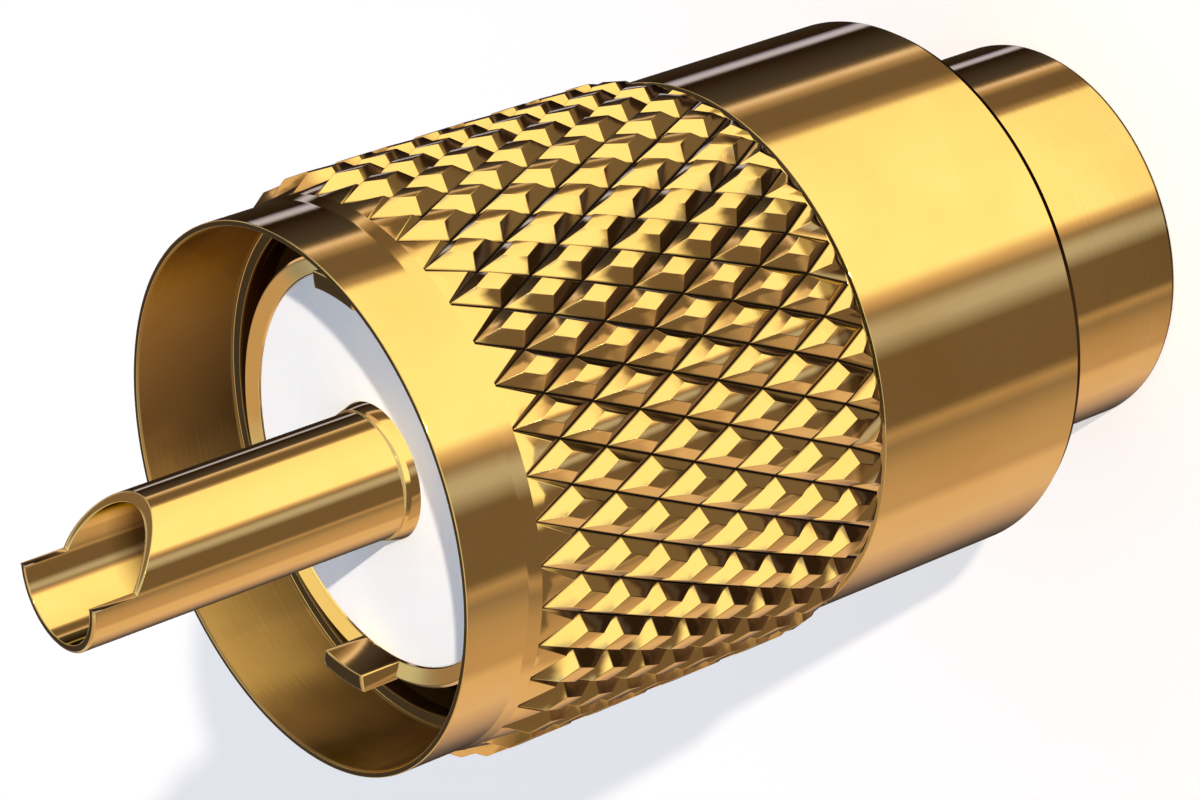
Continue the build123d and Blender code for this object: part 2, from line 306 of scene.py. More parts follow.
# Turned PTFE: dead white, waxy and soft edged.
turnedPtfe = plainFinish("turnedWhitePtfe", ("#EDF8FE", "#E5F1F8"), (0.38, 0.5),
                         patchSize=1.6, grain=0.0004, ior=1.36, subsurface=0.15)
# Moulded nitrile rubber: dull black with a grey bloom.
gasketRubber = plainFinish("mouldedNitrileRubber", ("#1B1B1C", "#29292A"), (0.6, 0.8),
                           patchSize=0.9, grain=0.002)
# Bare turned brass: paler and greener than the gold, a little dulled by air.
bareBrass = plainFinish("turnedBareBrass", ("#E3C173", "#C9A254"), (0.22, 0.4),
                        patchSize=1.2, grain=0.0006, metallic=1.0)
print("finishes made")


ringSizes = {
    "skirtRadius": 8.78, "rear": 6.40, "skirtFront": 14.584, "skirtDrop": 0.15, "skirtSlope": 0.26,
    "coneRadius": 8.672, "coneRear": 27.50, "coneFront": 27.93,
    "lipRadius": 8.59, "lipFlat": 0.16, "front": 30.10,
    "mouthRadius": 8.37, "mouthFloor": 26.60,
    "threadRoot": 7.94, "threadRear": 17.40,
    "reliefRadius": 8.10, "shoulderFront": 8.60, "shoulderBore": 6.48,
    # how far each kind of corner is rounded
    "fineEdge": 0.02, "edge": 0.03, "rearEdge": 0.05, "coneFoot": 0.4, "mouthFoot": 0.10,
    "shoulderFoot": 0.15,
    "sides": 240,
}


def couplingRing():
    s = ringSizes
    slope = s["lipRadius"] - s["lipFlat"] - s["mouthRadius"]
    corners = [
        (s["skirtRadius"] - s["skirtDrop"], s["rear"], s["edge"]),
        (s["skirtRadius"], s["rear"] + s["skirtSlope"], s["rearEdge"]),
        (s["skirtRadius"], s["skirtFront"], s["fineEdge"]),
        (s["lipRadius"], s["skirtFront"], 0.0),
        (s["lipRadius"], s["coneRear"], 0.0),
        (s["coneRadius"], s["coneRear"], 0.0),
        (s["lipRadius"], s["coneFront"], s["coneFoot"]),
        (s["lipRadius"], s["front"], s["edge"]),
        (s["lipRadius"] - s["lipFlat"], s["front"], s["fineEdge"]),
        (s["mouthRadius"], s["front"] - slope, s["edge"]),
        (s["mouthRadius"], s["mouthFloor"], s["mouthFoot"]),
        (s["threadRoot"], s["mouthFloor"], s["edge"]),
        (s["threadRoot"], s["threadRear"], s["edge"]),
        (s["reliefRadius"], s["threadRear"], s["edge"]),
        (s["reliefRadius"], s["shoulderFront"], s["shoulderFoot"]),
        (s["shoulderBore"], s["shoulderFront"], s["edge"]),
        (s["shoulderBore"], s["rear"], s["edge"]),
    ]
    piece = turnedPiece("couplingRing", corners, s["sides"])
    for finish in (turnedGold, boredGold):
        piece.data.materials.append(finish)
    widest = s["mouthRadius"] + 0.05  # a little more than the mouth, to take in its chamfer
    for face in piece.data.polygons:  # the bore, from the mouth's edge down
        if facesAxis(face) and face.center.xy.length < widest * mm:
            face.material_index = 1
    return piece


knurlSizes = {  # the tree's inputs, in metres and radians
    "Starts": 40, "Rows": 9, "Row Length": 1.45188 * mm, "Root Radius": 8.62 * mm,
    "Depth": 0.52 * mm, "Flat Share": 0.45, "Front": 27.55 * mm, "Phase": math.radians(-1.5),
    "Rear Trim": 0.18 * mm, "Rear Height": 0.11 * mm, "Rear Slope": 0.45, "Wall": 0.2 * mm,
    "Finish": knurledGold,
    # the first row is cut by a shallow cone: its tops' shares of the diamond, and their heights
    "End Width": 0.960, "End Length": 0.743, "End Height": 0.073, "End Slope": 0.5305,
    "edge": 0.02, "edgeAngle": 20,  # the bevel that follows the tree, in millimetres and degrees
}


def knurlTree():
    # Diamonds tile a flat sheet: X is the angle, Y runs down the ring and Z is the height above the
    # groove's floor. The sheet is cut square at both ends, backed, and wrapped round the ring.
    tree, given = treeWithInputs("diamondKnurl", {
        "Starts": "Int", "Rows": "Int", "Row Length": "Float", "Root Radius": "Float",
        "Depth": "Float", "Flat Share": "Float", "Front": "Float", "Phase": "Float",
        "Rear Trim": "Float", "Rear Height": "Float", "Rear Slope": "Float", "Wall": "Float",
        "End Width": "Float", "End Length": "Float", "End Height": "Float", "End Slope": "Float",
        "Finish": "Material"})
    half = addNode(tree, "ShaderNodeMath", {0: math.pi, 1: given["Starts"]}, operation="DIVIDE")
    index = addNode(tree, "GeometryNodeInputIndex")

    # Two teeth on a diamond two units wide: the first row's, and the flat-topped one of the rest.
    diamond = addNode(tree, "GeometryNodeMeshCircle",
                      {"Vertices": 4, "Radius": 1.0}, fill_type="NGON")
    here = addNode(tree, "GeometryNodeInputPosition")
    axes = addNode(tree, "ShaderNodeSeparateXYZ", {0: here})
    behind = addNode(tree, "ShaderNodeMath", {0: axes.outputs[1], 1: 0.0}, operation="MINIMUM")
    run = addNode(tree, "ShaderNodeMath",
                  {0: behind, 1: given["End Length"]}, operation="MULTIPLY")
    climb = addNode(tree, "ShaderNodeMath",
                    {0: run, 1: given["End Slope"]}, operation="MULTIPLY")
    endHeight = addNode(tree, "ShaderNodeMath",
                        {0: given["End Height"], 1: climb}, operation="SUBTRACT")
    flat = given["Flat Share"]
    shapes = []
    for width, length, height in ((given["End Width"], given["End Length"], endHeight),
                                  (flat, flat, 1.0)):
        raised = addNode(tree, "GeometryNodeExtrudeMesh",
                         {"Mesh": diamond, "Offset Scale": 0.0}, mode="FACES")
        sides = addNode(tree, "ShaderNodeCombineXYZ", {0: width, 1: length, 2: 0.0})
        lift = addNode(tree, "ShaderNodeCombineXYZ", {2: height})
        moved = addNode(tree, "ShaderNodeVectorMath",
                        {0: here, 1: sides, 2: lift}, operation="MULTIPLY_ADD")
        tooth = addNode(tree, "GeometryNodeSetPosition", {
            "Geometry": raised.outputs["Mesh"], "Selection": raised.outputs["Top"],
            "Position": moved})
        # the lowest corners mark the groove bottoms, which the finish darkens with painted shade
        lowest = addNode(tree, "ShaderNodeMath",
                         {0: axes.outputs[2], 1: 0.01}, operation="LESS_THAN")
        shapes.append(addNode(tree, "GeometryNodeStoreNamedAttribute",
                              {"Geometry": tooth, "Name": "groove", "Value": lowest},
                              data_type="FLOAT", domain="CORNER"))

    sheets = []
    for firstRow, shape in enumerate(shapes):
        rows = given["Rows"] if firstRow else 1
        count = addNode(tree, "ShaderNodeMath",
                        {0: given["Starts"], 1: rows}, operation="MULTIPLY")
        around = addNode(tree, "FunctionNodeIntegerMath",
                         {0: index, 1: given["Starts"]}, operation="MODULO")
        down = addNode(tree, "FunctionNodeIntegerMath",
                       {0: index, 1: given["Starts"]}, operation="DIVIDE_FLOOR")
        row = addNode(tree, "ShaderNodeMath", {0: down, 1: float(firstRow)}, operation="ADD")
        rowAfter = addNode(tree, "ShaderNodeMath", {0: row, 1: 1.0}, operation="ADD")
        odd = addNode(tree, "ShaderNodeMath", {0: rowAfter, 1: 2.0}, operation="FLOORED_MODULO")
        halves = addNode(tree, "ShaderNodeMath",
                         {0: around, 1: 2.0, 2: odd}, operation="MULTIPLY_ADD")
        across = addNode(tree, "ShaderNodeMath",
                         {0: halves, 1: half, 2: given["Phase"]}, operation="MULTIPLY_ADD")
        back = addNode(tree, "ShaderNodeMath",
                       {0: row, 1: given["Row Length"]}, operation="MULTIPLY")
        fall = addNode(tree, "ShaderNodeMath", {0: back, 1: -1.0}, operation="MULTIPLY")
        spot = addNode(tree, "ShaderNodeCombineXYZ", {0: across, 1: fall})
        points = addNode(tree, "GeometryNodePoints", {"Count": count, "Position": spot})
        size = addNode(tree, "ShaderNodeCombineXYZ",
                       {0: half, 1: given["Row Length"], 2: given["Depth"]})
        copies = addNode(tree, "GeometryNodeInstanceOnPoints", {
            "Points": points, "Instance": shape, "Scale": size})
        sheets.append(addNode(tree, "GeometryNodeRealizeInstances", {0: copies}))

    # The sheet is cut by pushing what is past the front and rear edges back to them.
    far = 100.0
    length = addNode(tree, "ShaderNodeMath",
                     {0: given["Rows"], 1: given["Row Length"]}, operation="MULTIPLY")
    rear = addNode(tree, "ShaderNodeMath",
                   {0: given["Rear Trim"], 1: length}, operation="SUBTRACT")
    low = addNode(tree, "ShaderNodeCombineXYZ", {0: -far, 1: rear, 2: -far})
    tiled = addNode(tree, "GeometryNodeJoinGeometry")
    for sheet in sheets:
        tree.links.new(sheet.outputs[0], tiled.inputs[0])
    above = addNode(tree, "ShaderNodeVectorMath", {0: here, 1: low}, operation="MAXIMUM")
    within = addNode(tree, "ShaderNodeVectorMath",
                     {0: above, 1: (far, 0.0, far)}, operation="MINIMUM")
    trimmed = addNode(tree, "GeometryNodeSetPosition", {"Geometry": tiled, "Position": within})
    axes = addNode(tree, "ShaderNodeSeparateXYZ", {0: here})  # the tops fall towards the rear edge
    ahead = addNode(tree, "ShaderNodeMath", {0: axes.outputs[1], 1: rear}, operation="SUBTRACT")
    limit = addNode(tree, "ShaderNodeMath",
                    {0: ahead, 1: given["Rear Slope"], 2: given["Rear Height"]},
                    operation="MULTIPLY_ADD")
    limited = addNode(tree, "ShaderNodeMath", {0: axes.outputs[2], 1: limit}, operation="MINIMUM")
    spot = addNode(tree, "ShaderNodeCombineXYZ",
                   {0: axes.outputs[0], 1: axes.outputs[1], 2: limited})
    cut = addNode(tree, "GeometryNodeSetPosition", {"Geometry": trimmed, "Position": spot})

    # The back is a strip of four lines: front edge, front floor, rear floor, rear edge.
    twice = addNode(tree, "ShaderNodeMath",
                    {0: given["Starts"], 1: 2.0, 2: 1.0}, operation="MULTIPLY_ADD")
    strip = addNode(tree, "GeometryNodeMeshGrid", {
        "Size X": 1.0, "Size Y": 1.0, "Vertices X": twice, "Vertices Y": 4})
    column = addNode(tree, "FunctionNodeIntegerMath", {0: index, 1: 4}, operation="DIVIDE_FLOOR")
    line = addNode(tree, "FunctionNodeIntegerMath", {0: index, 1: 4}, operation="MODULO")
    across = addNode(tree, "ShaderNodeMath",
                     {0: column, 1: half, 2: given["Phase"]}, operation="MULTIPLY_ADD")
    isRear = addNode(tree, "ShaderNodeMath", {0: line, 1: 1.5}, operation="GREATER_THAN")
    down = addNode(tree, "ShaderNodeMath", {0: isRear, 1: rear}, operation="MULTIPLY")
    isFloor = addNode(tree, "ShaderNodeMath", {0: line, 1: 1.5, 2: 1.1}, operation="COMPARE")
    sink = addNode(tree, "ShaderNodeMath", {0: isFloor, 1: given["Wall"]}, operation="MULTIPLY")
    sunk = addNode(tree, "ShaderNodeMath", {0: sink, 1: -1.0}, operation="MULTIPLY")
    spot = addNode(tree, "ShaderNodeCombineXYZ", {0: across, 1: down, 2: sunk})
    backing = addNode(tree, "GeometryNodeSetPosition", {"Geometry": strip, "Position": spot})
    flipped = addNode(tree, "GeometryNodeFlipFaces", {0: backing})

    band = addNode(tree, "GeometryNodeJoinGeometry")
    tree.links.new(cut.outputs[0], band.inputs[0])
    tree.links.new(flipped.outputs[0], band.inputs[0])
    axes = addNode(tree, "ShaderNodeSeparateXYZ", {0: here})
    radius = addNode(tree, "ShaderNodeMath",
                     {0: axes.outputs[2], 1: given["Root Radius"]}, operation="ADD")
    cosine = addNode(tree, "ShaderNodeMath", {0: axes.outputs[0]}, operation="COSINE")
    sine = addNode(tree, "ShaderNodeMath", {0: axes.outputs[0]}, operation="SINE")
    x = addNode(tree, "ShaderNodeMath", {0: radius, 1: cosine}, operation="MULTIPLY")
    y = addNode(tree, "ShaderNodeMath", {0: radius, 1: sine}, operation="MULTIPLY")
    z = addNode(tree, "ShaderNodeMath", {0: axes.outputs[1], 1: given["Front"]}, operation="ADD")
    wrappedSpot = addNode(tree, "ShaderNodeCombineXYZ", {0: x, 1: y, 2: z})
    wrapped = addNode(tree, "GeometryNodeSetPosition", {"Geometry": band, "Position": wrappedSpot})
    welded = addNode(tree, "GeometryNodeMergeByDistance",
                     {"Geometry": wrapped, "Distance": weldDistance})
    real = addNode(tree, "GeometryNodeRealizeInstances", {0: welded})
    finished = addNode(tree, "GeometryNodeSetMaterial",
                       {"Geometry": real, "Material": given["Finish"]})
    addNode(tree, "NodeGroupOutput", {0: finished})
    return tree


threadTurns = {  # 24 threads to the inch, in metres; the root lies a little inside the ring's wall
    "Pitch": 1.0583 * mm, "Turns": 8.1, "Steps": 72, "Crest Radius": 7.42 * mm,
    "Root Radius": 7.97 * mm, "Crest Width": 0.26 * mm, "Root Width": 0.90 * mm,
    "Start": 17.75 * mm, "Fade": 0.35, "Mouth": 26.08 * mm, "Finish": boredGold,
}


def threadTree():
    # A ridge of four lines climbs the wall, and a fifth closes it on the first: root, crest, crest,
    # root, root. It shrinks into the wall at both ends, and a cone opens it at the mouth.
    tree, given = treeWithInputs("couplingThread", {
        "Pitch": "Float", "Turns": "Float", "Steps": "Int", "Crest Radius": "Float",
        "Root Radius": "Float", "Crest Width": "Float", "Root Width": "Float", "Start": "Float",
        "Fade": "Float", "Mouth": "Float", "Finish": "Material"})
    index = addNode(tree, "GeometryNodeInputIndex")
    columns = addNode(tree, "ShaderNodeMath",
                      {0: given["Turns"], 1: given["Steps"], 2: 1.0}, operation="MULTIPLY_ADD")
    strip = addNode(tree, "GeometryNodeMeshGrid", {
        "Size X": 1.0, "Size Y": 1.0, "Vertices X": columns, "Vertices Y": 5})
    column = addNode(tree, "FunctionNodeIntegerMath", {0: index, 1: 5}, operation="DIVIDE_FLOOR")
    line = addNode(tree, "FunctionNodeIntegerMath", {0: index, 1: 5}, operation="MODULO")
    turn = addNode(tree, "ShaderNodeMath", {0: column, 1: given["Steps"]}, operation="DIVIDE")
    lastColumn = addNode(tree, "ShaderNodeMath", {0: columns, 1: 1.0}, operation="SUBTRACT")
    whole = addNode(tree, "ShaderNodeMath", {0: lastColumn}, operation="FLOOR")
    lastTurn = addNode(tree, "ShaderNodeMath", {0: whole, 1: given["Steps"]}, operation="DIVIDE")
    left = addNode(tree, "ShaderNodeMath", {0: lastTurn, 1: turn}, operation="SUBTRACT")
    nearest = addNode(tree, "ShaderNodeMath", {0: turn, 1: left}, operation="MINIMUM")
    fade = addNode(tree, "ShaderNodeMapRange",
                   {0: nearest, 1: 0.0, 2: given["Fade"], 3: 0.0, 4: 1.0})
    isCrest = addNode(tree, "ShaderNodeMath", {0: line, 1: 1.5, 2: 0.6}, operation="COMPARE")
    isUpper = addNode(tree, "ShaderNodeMath", {0: line, 1: 2.5, 2: 0.6}, operation="COMPARE")
    crest = addNode(tree, "ShaderNodeMath", {0: isCrest, 1: fade.outputs[0]}, operation="MULTIPLY")
    radius = addNode(tree, "ShaderNodeMix",
                     {0: crest, 2: given["Root Radius"], 3: given["Crest Radius"]})
    width = addNode(tree, "ShaderNodeMix",
                    {0: isCrest, 2: given["Root Width"], 3: given["Crest Width"]})
    sign = addNode(tree, "ShaderNodeMath", {0: isUpper, 1: 0.5}, operation="SUBTRACT")
    rise = addNode(tree, "ShaderNodeMath", {0: width, 1: sign}, operation="MULTIPLY")
    faded = addNode(tree, "ShaderNodeMath",
                    {0: rise, 1: fade.outputs[0], 2: given["Start"]}, operation="MULTIPLY_ADD")
    z = addNode(tree, "ShaderNodeMath",
                {0: turn, 1: given["Pitch"], 2: faded}, operation="MULTIPLY_ADD")
    past = addNode(tree, "ShaderNodeMath", {0: z, 1: given["Mouth"]}, operation="SUBTRACT")
    cone = addNode(tree, "ShaderNodeMath", {0: past, 1: given["Crest Radius"]}, operation="ADD")
    opened = addNode(tree, "ShaderNodeMath", {0: radius, 1: cone}, operation="MAXIMUM")
    kept = addNode(tree, "ShaderNodeMath",
                   {0: opened, 1: given["Root Radius"]}, operation="MINIMUM")
    angle = addNode(tree, "ShaderNodeMath", {0: turn, 1: 2 * math.pi}, operation="MULTIPLY")
    cosine = addNode(tree, "ShaderNodeMath", {0: angle}, operation="COSINE")
    sine = addNode(tree, "ShaderNodeMath", {0: angle}, operation="SINE")
    x = addNode(tree, "ShaderNodeMath", {0: kept, 1: cosine}, operation="MULTIPLY")
    y = addNode(tree, "ShaderNodeMath", {0: kept, 1: sine}, operation="MULTIPLY")
    spot = addNode(tree, "ShaderNodeCombineXYZ", {0: x, 1: y, 2: z})
    ridge = addNode(tree, "GeometryNodeSetPosition", {"Geometry": strip, "Position": spot})
    welded = addNode(tree, "GeometryNodeMergeByDistance",
                     {"Geometry": ridge, "Distance": weldDistance})
    real = addNode(tree, "GeometryNodeRealizeInstances", {0: welded})
    finished = addNode(tree, "GeometryNodeSetMaterial",
                       {"Geometry": real, "Material": given["Finish"]})
    addNode(tree, "NodeGroupOutput", {0: finished})
    return tree


ring = couplingRing()
knurl = grownPiece("ringKnurl", knurlTree(), knurlSizes)
knurl = softenedEdges(knurl, knurlSizes["edge"], knurlSizes["edgeAngle"])
thread = grownPiece("ringThread", threadTree(), threadTurns)
print("coupling ring made")


bodySizes = {
    "barrelBore": 5.45, "barrelRadius": 6.40, "barrelFront": 14.80,
    "collarRadius": 7.80, "collarFront": 17.30, "collarChamfer": 0.30,
    "rimRadius": 6.78, "rimHeight": 27.26, "rimEdge": 0.10, "rimCone": 0.20,
    "cavityRadius": 6.22, "cavityFloor": 20.0, "webBore": 4.20,
    "seatFront": 13.632, "seatRadius": 5.2203, "seatRear": 10.20,
    # how far each kind of corner is rounded
    "rimFine": 0.03, "rimRounding": 0.04, "edge": 0.05, "foot": 0.10, "rearEdge": 0.18,
    "sides": 240,
}
toothSizes = {
    "count": 2, "height": 1.20, "sink": 0.3, "width": 18.0, "angle": -34.0, "steps": 10,
    "edge": 0.05, "edgeAngle": 30, "edgeSteps": 3,
}


def plugBody():
    s = bodySizes
    corners = [
        (s["barrelBore"], 0.0, s["foot"]),
        (s["barrelRadius"], 0.0, s["rearEdge"]),
        (s["barrelRadius"], s["barrelFront"], s["foot"]),
        (s["collarRadius"], s["barrelFront"], s["edge"]),
        (s["collarRadius"], s["collarFront"] - s["collarChamfer"], s["edge"]),
        (s["collarRadius"] - s["collarChamfer"], s["collarFront"], s["edge"]),
        (s["rimRadius"], s["collarFront"], s["foot"]),
        (s["rimRadius"], s["rimHeight"] - s["rimEdge"], s["rimRounding"]),
        (s["rimRadius"] - s["rimEdge"], s["rimHeight"], s["rimFine"]),
        (s["cavityRadius"], s["rimHeight"] - s["rimCone"], s["rimFine"]),
        (s["cavityRadius"], s["cavityFloor"], 0.0),
        (s["webBore"], s["cavityFloor"], 0.0),
        (s["webBore"], s["seatFront"], s["edge"]),
        (s["seatRadius"], s["seatRear"], s["edge"]),
        (s["barrelBore"], s["seatRear"], s["edge"]),
    ]
    return turnedPiece("plugBody", corners, s["sides"])


def keyTeeth():  # two blocks that stand on the rim, their feet sunk in it
    s = toothSizes
    inner, outer = bodySizes["cavityRadius"], bodySizes["rimRadius"]
    low, high = bodySizes["rimHeight"] - s["sink"], bodySizes["rimHeight"] + s["height"]
    steps = s["steps"]
    vertices = []
    faces = []
    for tooth in range(s["count"]):
        middle = s["angle"] + 360 / s["count"] * tooth
        first = len(vertices)
        for step in range(steps + 1):
            a = math.radians(middle + s["width"] * (step / steps - 0.5))
            for r, z in ((inner, low), (outer, low), (outer, high), (inner, high)):
                vertices.append((r * math.cos(a) * mm, r * math.sin(a) * mm, z * mm))
        for step in range(steps):
            here, there = first + step * 4, first + step * 4 + 4
            for side in range(4):
                after = (side + 1) % 4
                faces.append((here + side, there + side, there + after, here + after))
        faces.append(tuple(first + side for side in range(4)))
        faces.append(tuple(first + steps * 4 + side for side in (3, 2, 1, 0)))
    piece = newPiece("keyTeeth", vertices, faces)
    return softenedEdges(piece, s["edge"], s["edgeAngle"], s["edgeSteps"])


body = plugBody()
teeth = keyTeeth()
print("plug body made")


pinSizes = {
    "tailBore": 1.20, "tailRadius": 1.80, "tail": 15.50, "flangeRear": 20.0, "flangeFront": 21.0,
    "flangeRadius": 2.80, "shankRadius": 2.14, "discFace": 27.03, "collarTop": 27.48,
    "collarRadius": 2.04, "radius": 1.98, "bore": 1.72, "drillEnd": 20.48, "middle": 31.0,
    "split": 34.60, "halfFrom": 36.80, "rampRear": 35.25, "rampBulge": 0.11, "tip": 38.25,
    "tipChamfer": 0.06, "opening": -31.0, "edge": 0.022, "edgeAngle": 25, "halfColumns": 56,
}


def contactPin():
    # Columns of points run up the outside, over the tip and down the bore. Half the columns stop at
    # the milled ramp, which rises from the wall to the axis.
    s = pinSizes
    outside = [(s["tailBore"], s["tail"]), (s["tailRadius"], s["tail"]),
               (s["tailRadius"], s["flangeRear"]), (s["flangeRadius"], s["flangeRear"]),
               (s["flangeRadius"], s["flangeFront"]), (s["shankRadius"], s["flangeFront"]),
               (s["shankRadius"], s["discFace"]), (s["collarRadius"], s["collarTop"]),
               (s["radius"], s["collarTop"]), (s["radius"], s["middle"]),
               (s["radius"], s["split"])]
    inside = [(s["bore"], s["split"]), (s["bore"], s["middle"]), (s["bore"], s["flangeFront"]),
              (s["tailBore"], s["drillEnd"])]

    def rampHeight(r, a):
        share = max(r * math.cos(a) / s["radius"], 0.0)
        return (s["halfFrom"] - (s["halfFrom"] - s["rampRear"]) * share
                + 4 * s["rampBulge"] * share * (1 - share))

    halfColumns = s["halfColumns"]
    columns = []
    vertices = []
    faces = []

    def add(r, a, z):
        spin = a + math.radians(s["opening"])
        vertices.append((r * math.cos(spin) * mm, r * math.sin(spin) * mm, z * mm))
        return len(vertices) - 1

    for number in range(2 * halfColumns):
        a = -math.pi / 2 + math.pi * number / halfColumns
        low = [add(r, a, z) for r, z in outside]
        ramp = [add(r, a, rampHeight(r, a)) for r in (s["radius"], s["bore"])]
        top = []
        if number == 0 or number >= halfColumns:
            top = [add(s["radius"], a, s["tip"] - s["tipChamfer"]),
                   add(s["radius"] - s["tipChamfer"], a, s["tip"]), add(s["bore"], a, s["tip"])]
        high = [add(r, a, z) for r, z in inside]
        columns.append((low, ramp, top, high))
    for number, (low, ramp, top, high) in enumerate(columns):
        nextLow, nextRamp, nextTop, nextHigh = columns[(number + 1) % len(columns)]
        if number >= halfColumns:
            here = low + [ramp[0]] + top + [ramp[1]] + high
            there = nextLow + [nextRamp[0]] + nextTop + [nextRamp[1]] + nextHigh
        else:
            here = low + ramp + high
            there = nextLow + nextRamp + nextHigh
        for place in range(len(here)):
            after = (place + 1) % len(here)
            faces.append((here[place], there[place], there[after], here[after]))
    for number, order in ((0, 1), (halfColumns, -1)):  # the half tip's two straight sides
        _, ramp, top, _ = columns[number]
        faces.append(tuple([ramp[0], *top, ramp[1]][::order]))
    piece = softenedEdges(newPiece("contactPin", vertices, faces), s["edge"], s["edgeAngle"])
    mesh = piece.data
    for vertex in mesh.vertices:  # an edge's arc doesn't reach past the tip
        vertex.co.z = min(vertex.co.z, s["tip"] * mm)
    normals = [corner.vector.copy() for corner in mesh.corner_normals]
    roundWithin = 0.004 * mm
    for face in mesh.polygons:  # the turned walls get the true normals of a cylinder
        spots = [mesh.vertices[index].co.xy for index in face.vertices]
        reaches = [spot.length for spot in spots]
        if abs(face.normal.z) < 0.02 and max(reaches) - min(reaches) < roundWithin:
            for corner, spot in zip(face.loop_indices, spots):
                side = 1 if spot.dot(face.normal.xy) > 0 else -1
                normals[corner] = Vector((*(spot.normalized() * side), 0.0))
    mesh.normals_split_custom_set(normals)
    for finish in (turnedGold, drilledGold):
        mesh.materials.append(finish)
    for face in mesh.polygons:  # the drilled hole
        if facesAxis(face):
            face.material_index = 1
    return piece


pin = contactPin()
print("contact pin made")


discSizes = {
    "radius": 6.20, "rear": 20.0, "face": 27.03, "hole": 2.16, "pocket": 2.82, "pocketFloor": 21.0,
    "pocketEdge": 0.05, "rearEdge": 0.10, "faceEdge": 0.08, "holeEdge": 0.04, "sides": 160,
}


def frontInsulator():
    s = discSizes
    corners = [
        (s["pocket"], s["rear"], s["pocketEdge"]),
        (s["radius"], s["rear"], s["rearEdge"]),
        (s["radius"], s["face"], s["faceEdge"]),
        (s["hole"], s["face"], s["holeEdge"]),
        (s["hole"], s["pocketFloor"], 0.0),
        (s["pocket"], s["pocketFloor"], 0.0),
    ]
    return turnedPiece("frontInsulator", corners, s["sides"])


disc = frontInsulator()
print("insulator made")


nutSizes = {"edge": 0.06, "edgeAngle": 35, "flatWithin": 1.0, "weld": 0.001}


def glandNut():  # the solid's own form, with its edges eased
    s = nutSizes
    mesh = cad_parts["gland_nut"].data.copy()
    shape = bmesh.new()
    shape.from_mesh(mesh)
    bmesh.ops.remove_doubles(shape, verts=shape.verts, dist=s["weld"] * mm)
    bmesh.ops.dissolve_limit(shape, angle_limit=math.radians(s["flatWithin"]),
                             verts=shape.verts, edges=shape.edges)
    vertices = [tuple(v.co) for v in shape.verts]
    faces = [tuple(v.index for v in f.verts) for f in shape.faces]
    shape.free()
    bpy.data.meshes.remove(mesh)
    return softenedEdges(newPiece("glandNut", vertices, faces), s["edge"], s["edgeAngle"])


nut = glandNut()
print("gland nut made")


dressing = [  # piece, body, the node it replaces, its slot, and its finish if it has none yet
    (ring, "ring", "coupling_ring", "ring_gold", None),
    (knurl, "ring", None, "ring_gold", None),
    (thread, "ring", None, "ring_gold", None),
    (body, "plug", "plug_body", "body_gold", turnedGold),
    (teeth, "plug", None, "body_gold", turnedGold),
    (pin, "plug", "centre_pin", "pin_gold", None),
    (disc, "plug", "front_insulator", "insulator_white", turnedPtfe),
    (nut, "plug", "gland_nut", "nut_gold", turnedGold),
]
for piece, carrier, node, slot, finish in dressing:
    if finish:
        piece.data.materials.append(finish)
    piece.visible_glossy = False  # the gold mirrors the cards in the world, not its own pieces
    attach(piece, carrier)
    if node:
        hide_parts(node)

for node, finish in (("thrust_washer", bareBrass), ("gland_washer", bareBrass),
                     ("braid_ferrule", bareBrass), ("cable_gasket", gasketRubber),
                     ("rear_insulator", turnedPtfe)):
    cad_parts[node].material_slots[0].material = finish
print("pieces dressed")


floorValues = {"colour": "#F3F4F3", "glow": 0.5, "radius": 3.0, "height": 4.0, "sides": 96}
lightValues = {
    "keyAzimuth": -80.7, "keyElevation": 25.8, "keyStrength": 4.6, "keyColour": "#FFE8D6",
    "keyAngle": 1.2, "skyColour": "#D2E1FD", "skyStrength": 0.93, "bandStrength": 1.25,
    "highCardEdge": 6,  # how softly the high cards end
}
# The world is a studio of grey cards and strip lights, which the polished walls mirror. Each band
# is (azimuth, colour), and the colours blend from one to the next.
cardColours = {
    "white": "#FFFFF2", "cream": "#F4F3E2", "lilac": "#A9AECB", "rose": "#C9B6B1",
    "clay": "#A2918C", "umber": "#675C59", "slate": "#42404A", "soot": "#3E362E",
    "tan": "#AF9B97", "taupe": "#84787A", "pearl": "#D9CFE4", "ice": "#ACB6F1",
    "pitch": "#231910", "dim": "#A0978F", "dusk": "#6A6164",
}
lowCards = [  # below the horizon
    (-180, "tan"), (-166, "clay"), (-156, "taupe"), (-150.5, "clay"), (-146, "umber"),
    (-118, "umber"), (-109, "lilac"), (-105, "lilac"), (-99, "taupe"), (-93.5, "rose"),
    (-89, "white"), (-60, "white"), (-16, "cream"), (-13, "clay"), (-8, "umber"), (4, "umber"),
    (9, "clay"), (12.3, "pearl"), (15.5, "umber"), (18, "slate"), (39, "pitch"), (42.5, "pitch"),
    (45.5, "ice"), (48.5, "ice"), (53.5, "pitch"), (105, "soot"), (118, "umber"), (136, "tan"),
    (148, "rose"), (167, "rose"), (173, "tan"),
]
levelCards = [  # about the horizon
    (-180, "clay"), (-166, "umber"), (-125, "umber"), (-118, "white"), (-22, "white"),
    (-12, "rose"), (8, "rose"), (14, "slate"), (34, "slate"), (42, "rose"), (75, "rose"),
    (95, "soot"), (126, "rose"), (176, "rose"),
]
highCards = [  # round cards in the sky: azimuth, elevation, reach, colour
    (90.0, 33.0, 24.0, "slate"), (116.0, 48.0, 24.0, "rose"), (66.0, 62.0, 18.0, "white"),
    (28.0, 33.0, 18.0, "taupe"), (152.0, 34.0, 26.0, "rose"), (60.0, 14.0, 18.0, "clay"),
]
tierEdges = {  # elevations from which a tier gives way to the one above it, and at which it is gone
    "dim": (-46, -40), "dusk": (-59, -54),  # the low cards, multiplied by these colours
    "low": (-7.4, -5.6), "level": (8, 12),
}


